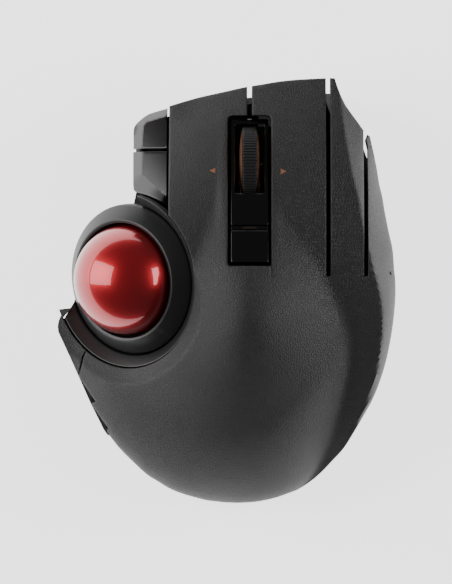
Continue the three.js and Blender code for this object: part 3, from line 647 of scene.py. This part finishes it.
finger_button("ring_finger_plate", "ring_finger_button", [
    (line([(31.8, HINGE_RIGHT), (42.0, HINGE_RIGHT)]), "seam"),
    (line([(42.0, HINGE_RIGHT), (42.0, 49.4)]), "rim"),
    (spline([(42.0, 49.4), (40, 52.2), (38.2, 54.6), (36.3, 57.4), (34.5, 61.4), (33.2, 65.3)]), "rim"),
    (line([(33.2, 65.3), (31.8, 65.4), (31.8, HINGE_RIGHT)]), "rim"),
], radius=0.35)
finger_button("little_finger_plate", "little_finger_button", [
    (line([(43.2, HINGE_RIGHT), (51.85, HINGE_RIGHT)]), "seam"),
    (spline([(51.85, HINGE_RIGHT)] + LITTLE_EDGE), "skirt"),
    (line([LITTLE_EDGE[-1], (43.2, 48.1), (43.2, HINGE_RIGHT)]), "rim"),
], radius=0.35)

# ---- thumb panel ----
wing = panel("thumb_panel", [
    (spline([(-49.4, -5.6), (-50.6, -6.8), (-51.5, -8.4), (-51.95, -10.4), (-51.8, -12.3)], 0.5), "skirt"),
    (line([(-51.8, -12.3), (-45.6, -25.4)]), "skirt"),
    (line([(-45.6, -25.4), (-45.3, -24.4), (-44.9, -23.0), (-44.2, -19.9), split_point]), "rim"),
    (seam_between(split_point, wing_top), "rim"),
], SOFT, "base", surface, thick=3.0, cell=0.6, reach=0.4, radius=0.3)
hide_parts("thumb_wing")

# ---- edge of the lower case under the stepped left wall ----
SILL_TOP_Z = 8.95
sill_outer = [(-51.5, -12.8), (-46.0, -25.2), (-41.9, -34.4), (-37.8, -42.6), (-36.5, -44.4)]
sill_inner = [sill_outer[-1], (-34.5, -43.0), (-38.5, -34.0), (-43.0, -25.0), (-48.5, -12.8), sill_outer[0]]
panel("left_sill", [(line(sill_outer), "wall"), (line(sill_inner), "wall")], CASE, "base",
      lambda x, y: np.full(x.shape, SILL_TOP_Z), thick=1.2, floor_z=7.9, radius=0.25)

# ---- ring and collar ----
ring = lathe("smooth_ring", rounded([
    (LIP[0], 0.3), (20.2, 0.3), (20.2, -2.5), (22.5, -3.9), (RING[0], -3.5), RING, (LIP[0] + 1.0, LIP[1]),
    (LIP[0], LIP[1] - 0.25),
], [0, 0, 0, 0.3, 0.3, 0.7, 0.35, 0.2]), RIM, "base", count=260)
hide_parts("cup_ring")


def turn_at(x, y, r, s):
    """The turn about the cup's axis at which the circle (r, s) passes nearest to (x, y)."""
    turns = np.linspace(0, 2 * math.pi, 1441)
    return min(turns, key=lambda t: math.hypot(*(cup_point(r, s, t)[:2] - (x, y))))


collar_from, collar_to = turn_at(-27.2, 30.4, *COLLAR), turn_at(-46.7, -3.1, *RING)
right_of_ball = turn_at(0, 4, *COLLAR)
low, high = sorted((collar_from, collar_to))
slant = (0, -0.045) if high == collar_to else (0.045, 0)
if not low < right_of_ball < high:
    low, high = high, low + 2 * math.pi
    slant = (-slant[1], 0) if slant[1] else (0, -slant[0])
collar = lathe("collar", rounded([
    (RING[0] + 0.4, RING[1] - 2.6), (COLLAR[0] - 1.4, COLLAR[1] - 4), (COLLAR[0], COLLAR[1] - 2.6), COLLAR,
    (RING[0] + 0.4, RING[1] + 0.25),
], [0, 0, 0, 0.6, 0.5]), RIM, "base", low, high, slant=slant)
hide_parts("cup_collar")

# ---- thumb buttons ----
CHAMFER_SLOPE = 1.3


def side_button(name, face, outline):
    """A thumb button with a flat face that is chamfered down to its outline."""
    def height(x, y):
        q = np.column_stack([x.ravel(), y.ravel()])
        away = np.where(inside(q, face), 0, loop_distance(q, face)).reshape(x.shape)
        return np.maximum(palm(x, y) - SIDE_SINK - CHAMFER_SLOPE * away, KEY_FLOOR_Z + 0.5)

    crease = line(face + face[:1], 0.35)
    inner = [(x * 0.985 + sum(f[0] for f in face) / len(face) * 0.015,
              y * 0.985 + sum(f[1] for f in face) / len(face) * 0.015) for x, y in crease]
    obj = panel(name[:-7] + "_key", outline, KEY, name, height, thick=30, floor_z=KEY_FLOOR_Z, radius=0.25,
                cell=0.6, marks=crease + inner)
    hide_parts(name)


side_button("forward_button", [(-25.7, 44.0), (-18.2, 44.0), (-18.2, 53.9), (-24.3, 52.1), (-25.2, 51.2)], [
    (line([(-28.5, 44.0), (-18.0, 44.0), (-18.0, 56.5)]), "rim"),
    (spline([(-18.0, 56.5), (-21.0, 55.7), (-24.0, 54.7), (-26.4, 53.0), (-27.9, 51.4), (-28.5, 49.6),
             (-28.5, 44.0)], 0.5), "rim"),
])
side_button("back_button", [(-25.6, 43.1), (-25.6, 36.0), (-18.5, 29.4), (-18.2, 29.4), (-18.2, 43.1)], [
    (line([(-18.0, 26.6), (-18.0, 43.1), (-28.6, 43.1), (-28.6, 33.4)]), "rim"),
    (spline([(-28.6, 33.4), (-28.5, 32.0), (-28.0, 30.9), (-24.8, 29.9), (-21.5, 28.5), (-18.0, 26.6)], 0.5),
     "rim"),
])

# ---- strip with the wheel window ----
def strip(x, y):
    """Height of the glossy strip, a little crowned."""
    lane = palm(np.full(x.shape, WHEEL[0]), y) - 0.6
    return lane - 0.012 * (x - WHEEL[0]) ** 2 + 0.1


def box_run(x0, x1, y0, y1, r):
    """An anticlockwise rectangle with rounded corners."""
    return (line([(x0 + r, y0), (x1 - r, y0)]) + bend((x1 - r, y0), (x1, y0), (x1, y0 + r))
            + line([(x1, y0 + r), (x1, y1 - r)]) + bend((x1, y1 - r), (x1, y1), (x1 - r, y1))
            + line([(x1 - r, y1), (x0 + r, y1)]) + bend((x0 + r, y1), (x0, y1), (x0, y1 - r))
            + line([(x0, y1 - r), (x0, y0 + r)]) + bend((x0, y0 + r), (x0, y0), (x0 + r, y0)))


STRIP_X = (1.5, 12.9)
window = list(reversed(box_run(2.7, 11.7, 30.0, 51.3, 0.9)))
bezel = panel("bezel", [(box_run(*STRIP_X, 20.3, 52.9, 0.5), "rim")], GLOSS, "base", strip, thick=1.6,
              floor_z=0, radius=0.3, cell=0.7, hole=window)
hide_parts("wheel_bezel")
key = panel("key_behind_wheel", [(box_run(*STRIP_X, 9.0, 18.7, 0.5), "rim")], GLOSS, "rear_key", strip,
            thick=1.6, floor_z=0, radius=0.35, cell=0.8)
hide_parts("rear_key")
panel("bar", [(box_run(*STRIP_X, 18.95, 20.05, 0.2), "rim")], GLOSS, "base", lambda x, y: strip(x, y) - 0.3,
      thick=1.2, floor_z=0, radius=0.15, cell=0.5)
lens = panel("light_window", [(box_run(5.4, 9.0, 19.15, 19.85, 0.2), "rim")], LENS, "base",
             lambda x, y: strip(x, y) - 0.2, thick=1.6, floor_z=0, radius=0.1, cell=0.4)
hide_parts("status_lens")

# ---- wheel ----
RIBS, PER_RIB = 82, 8
RIB_CUT = [0, 0, 0.05, 0.3, 0.55, 0.55, 0.3, 0.05]


def rib_depth(i, r):
    return RIB_CUT[i % PER_RIB] if r > 11.5 else 0


tyre = turned("ribbed_tyre", [
    (10.7, -2.2), (11.5, -2.2), (11.95, -2.15), (12.2, -1.95), (12.25, -1.6), (12.25, 1.6), (12.2, 1.95),
    (11.95, 2.15), (11.5, 2.2), (10.7, 2.2),
], RUBBER, RIBS * PER_RIB, rib_depth)
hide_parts("wheel_tyre")


def domed(r):
    """How far the copper side stands out from the wheel's middle at radius r."""
    return 2.3 + 1.15 * (1 - (r / 11.8) ** 2)


for side, node in ((-1, "wheel_left_ring"), (1, "wheel_right_ring")):
    radii = [11.55, 11.3, 10.9, 10.3, 9.5, 8.6, 7.6, 6.6, 5.6]
    profile = [(5.6, 2.35), (11.5, 2.35)] + [(r, domed(r)) for r in radii]
    obj = turned(("left" if side < 0 else "right") + "_copper_ring", [(r, side * x) for r, x in profile],
                 COPPER, 128)
    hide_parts(node)
hub = turned("hub", rounded([
    (0.01, -5.9), (1.1, -5.9), (1.1, -3.2), (5.3, -3.0), (5.3, -2.25), (10.4, -2.25), (10.4, 2.25),
    (5.3, 2.25), (5.3, 3.0), (1.1, 3.2), (1.1, 5.9), (0.01, 5.9),
], [0, 0.1, 0, 0.2, 0, 0, 0, 0, 0.2, 0, 0.1, 0]), RUBBER)
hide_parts("wheel_hub")

# ---- tilt arrows beside the wheel ----
def arrow(name, tip, back, half, body):
    """A thin printed triangle lying on the surface."""
    outline = [(tip[0], tip[1]), (back, tip[1] - half), (back, tip[1] + half)]
    if back < tip[0]:
        outline.reverse()
    loop = line(outline + outline[:1], 0.4)
    mid = (sum(q[0] for q in outline) / 3, sum(q[1] for q in outline) / 3)
    flat = loop + [mid]
    z = surface([q[0] for q in flat], [q[1] for q in flat])
    n = len(loop)
    verts = [(x, y, h + offset) for offset in (0.05, -0.1) for (x, y), h in zip(flat, z)]
    faces = [(i, (i + 1) % n, n) for i in range(n)]
    faces += [((i + 1) % n + n + 1, i + n + 1, 2 * n + 1) for i in range(n)]
    faces += [(i, i + n + 1, (i + 1) % n + n + 1, (i + 1) % n) for i in range(n)]
    return make(name, verts, faces, COPPER, body)


arrow("left_arrow", (-5.1, 37.0), -3.3, 0.85, "left_button")
arrow("right_arrow", (18.4, 36.7), 16.6, 0.9, "right_button")

# ---- ball ----
bm = bmesh.new()
bmesh.ops.create_icosphere(bm, subdivisions=6, radius=BALL_R)
verts = [(v.co.x + BALL[0], v.co.y + BALL[1], v.co.z + BALL[2]) for v in bm.verts]
faces = [[v.index for v in f.verts] for f in bm.faces]
bm.free()
ball = make("thumb_ball", verts, faces, RED, "ball", 3.0)
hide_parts("ball")

# ---- the rest of the CAD keeps its shape ----
LOOKS = {
    "case_black": CASE, "satin_black": SATIN, "gloss_black": GLOSS, "lens": LENS, "rubber": RUBBER,
    "copper": COPPER, "nylon": NYLON, "switch_grey": SWITCH, "board_green": BOARD, "cell": CELL,
    "steel": STEEL, "ruby": RUBY, "soft_touch_black": SOFT, "pearl_red": RED,
}
for entry in frame["record"]["subparts"]:
    node = frame["nodes"][entry["node"]]
    node.data.materials.clear()
    node.data.materials.append(LOOKS[entry["material_slot"]])

# ---- floor, camera and light ----
mesh = bpy.data.meshes.new("floor")
mesh.from_pydata([(-3, -3, 0), (3, -3, 0), (3, 3, 0), (-3, 3, 0)], [], [(0, 1, 2, 3)])
floor = bpy.data.objects.new("floor", mesh)
bpy.context.collection.objects.link(floor)
white, shader = principled("floor_white", (0.95, 0.95, 0.95), 0.9, spec=0.0)
shader.inputs["Emission Color"].default_value = (1, 1, 1, 1)
shader.inputs["Emission Strength"].default_value = 2.0
mesh.materials.append(white)

camera = bpy.data.cameras.new("camera")
camera.lens = 400
camera.sensor_width = 36
camera.clip_end = 20
view = bpy.data.objects.new("camera", camera)
view.location = (0, 0, 2.015)
bpy.context.collection.objects.link(view)
bpy.context.scene.camera = view

LIGHT_TARGET = Vector((0, 0, 0.02))


def softbox(name, place, size, power):
    light = bpy.data.lights.new(name, "AREA")
    light.shape = "RECTANGLE"
    light.size, light.size_y = size
    light.energy = power
    obj = bpy.data.objects.new(name, light)
    obj.location = place
    obj.rotation_euler = (LIGHT_TARGET - Vector(place)).to_track_quat("-Z", "Y").to_euler()
    bpy.context.collection.objects.link(obj)


softbox("left_box", (-0.75, 0.15, 0.42), (0.6, 0.8), 8.0)
softbox("right_box", (0.8, 0.1, 0.32), (0.5, 0.6), 7.0)

world = bpy.data.worlds.new("world")
bpy.context.scene.world = world
world.use_nodes = True
world.node_tree.nodes["Background"].inputs["Color"].default_value = (1, 1, 1, 1)
world.node_tree.nodes["Background"].inputs["Strength"].default_value = 0.1
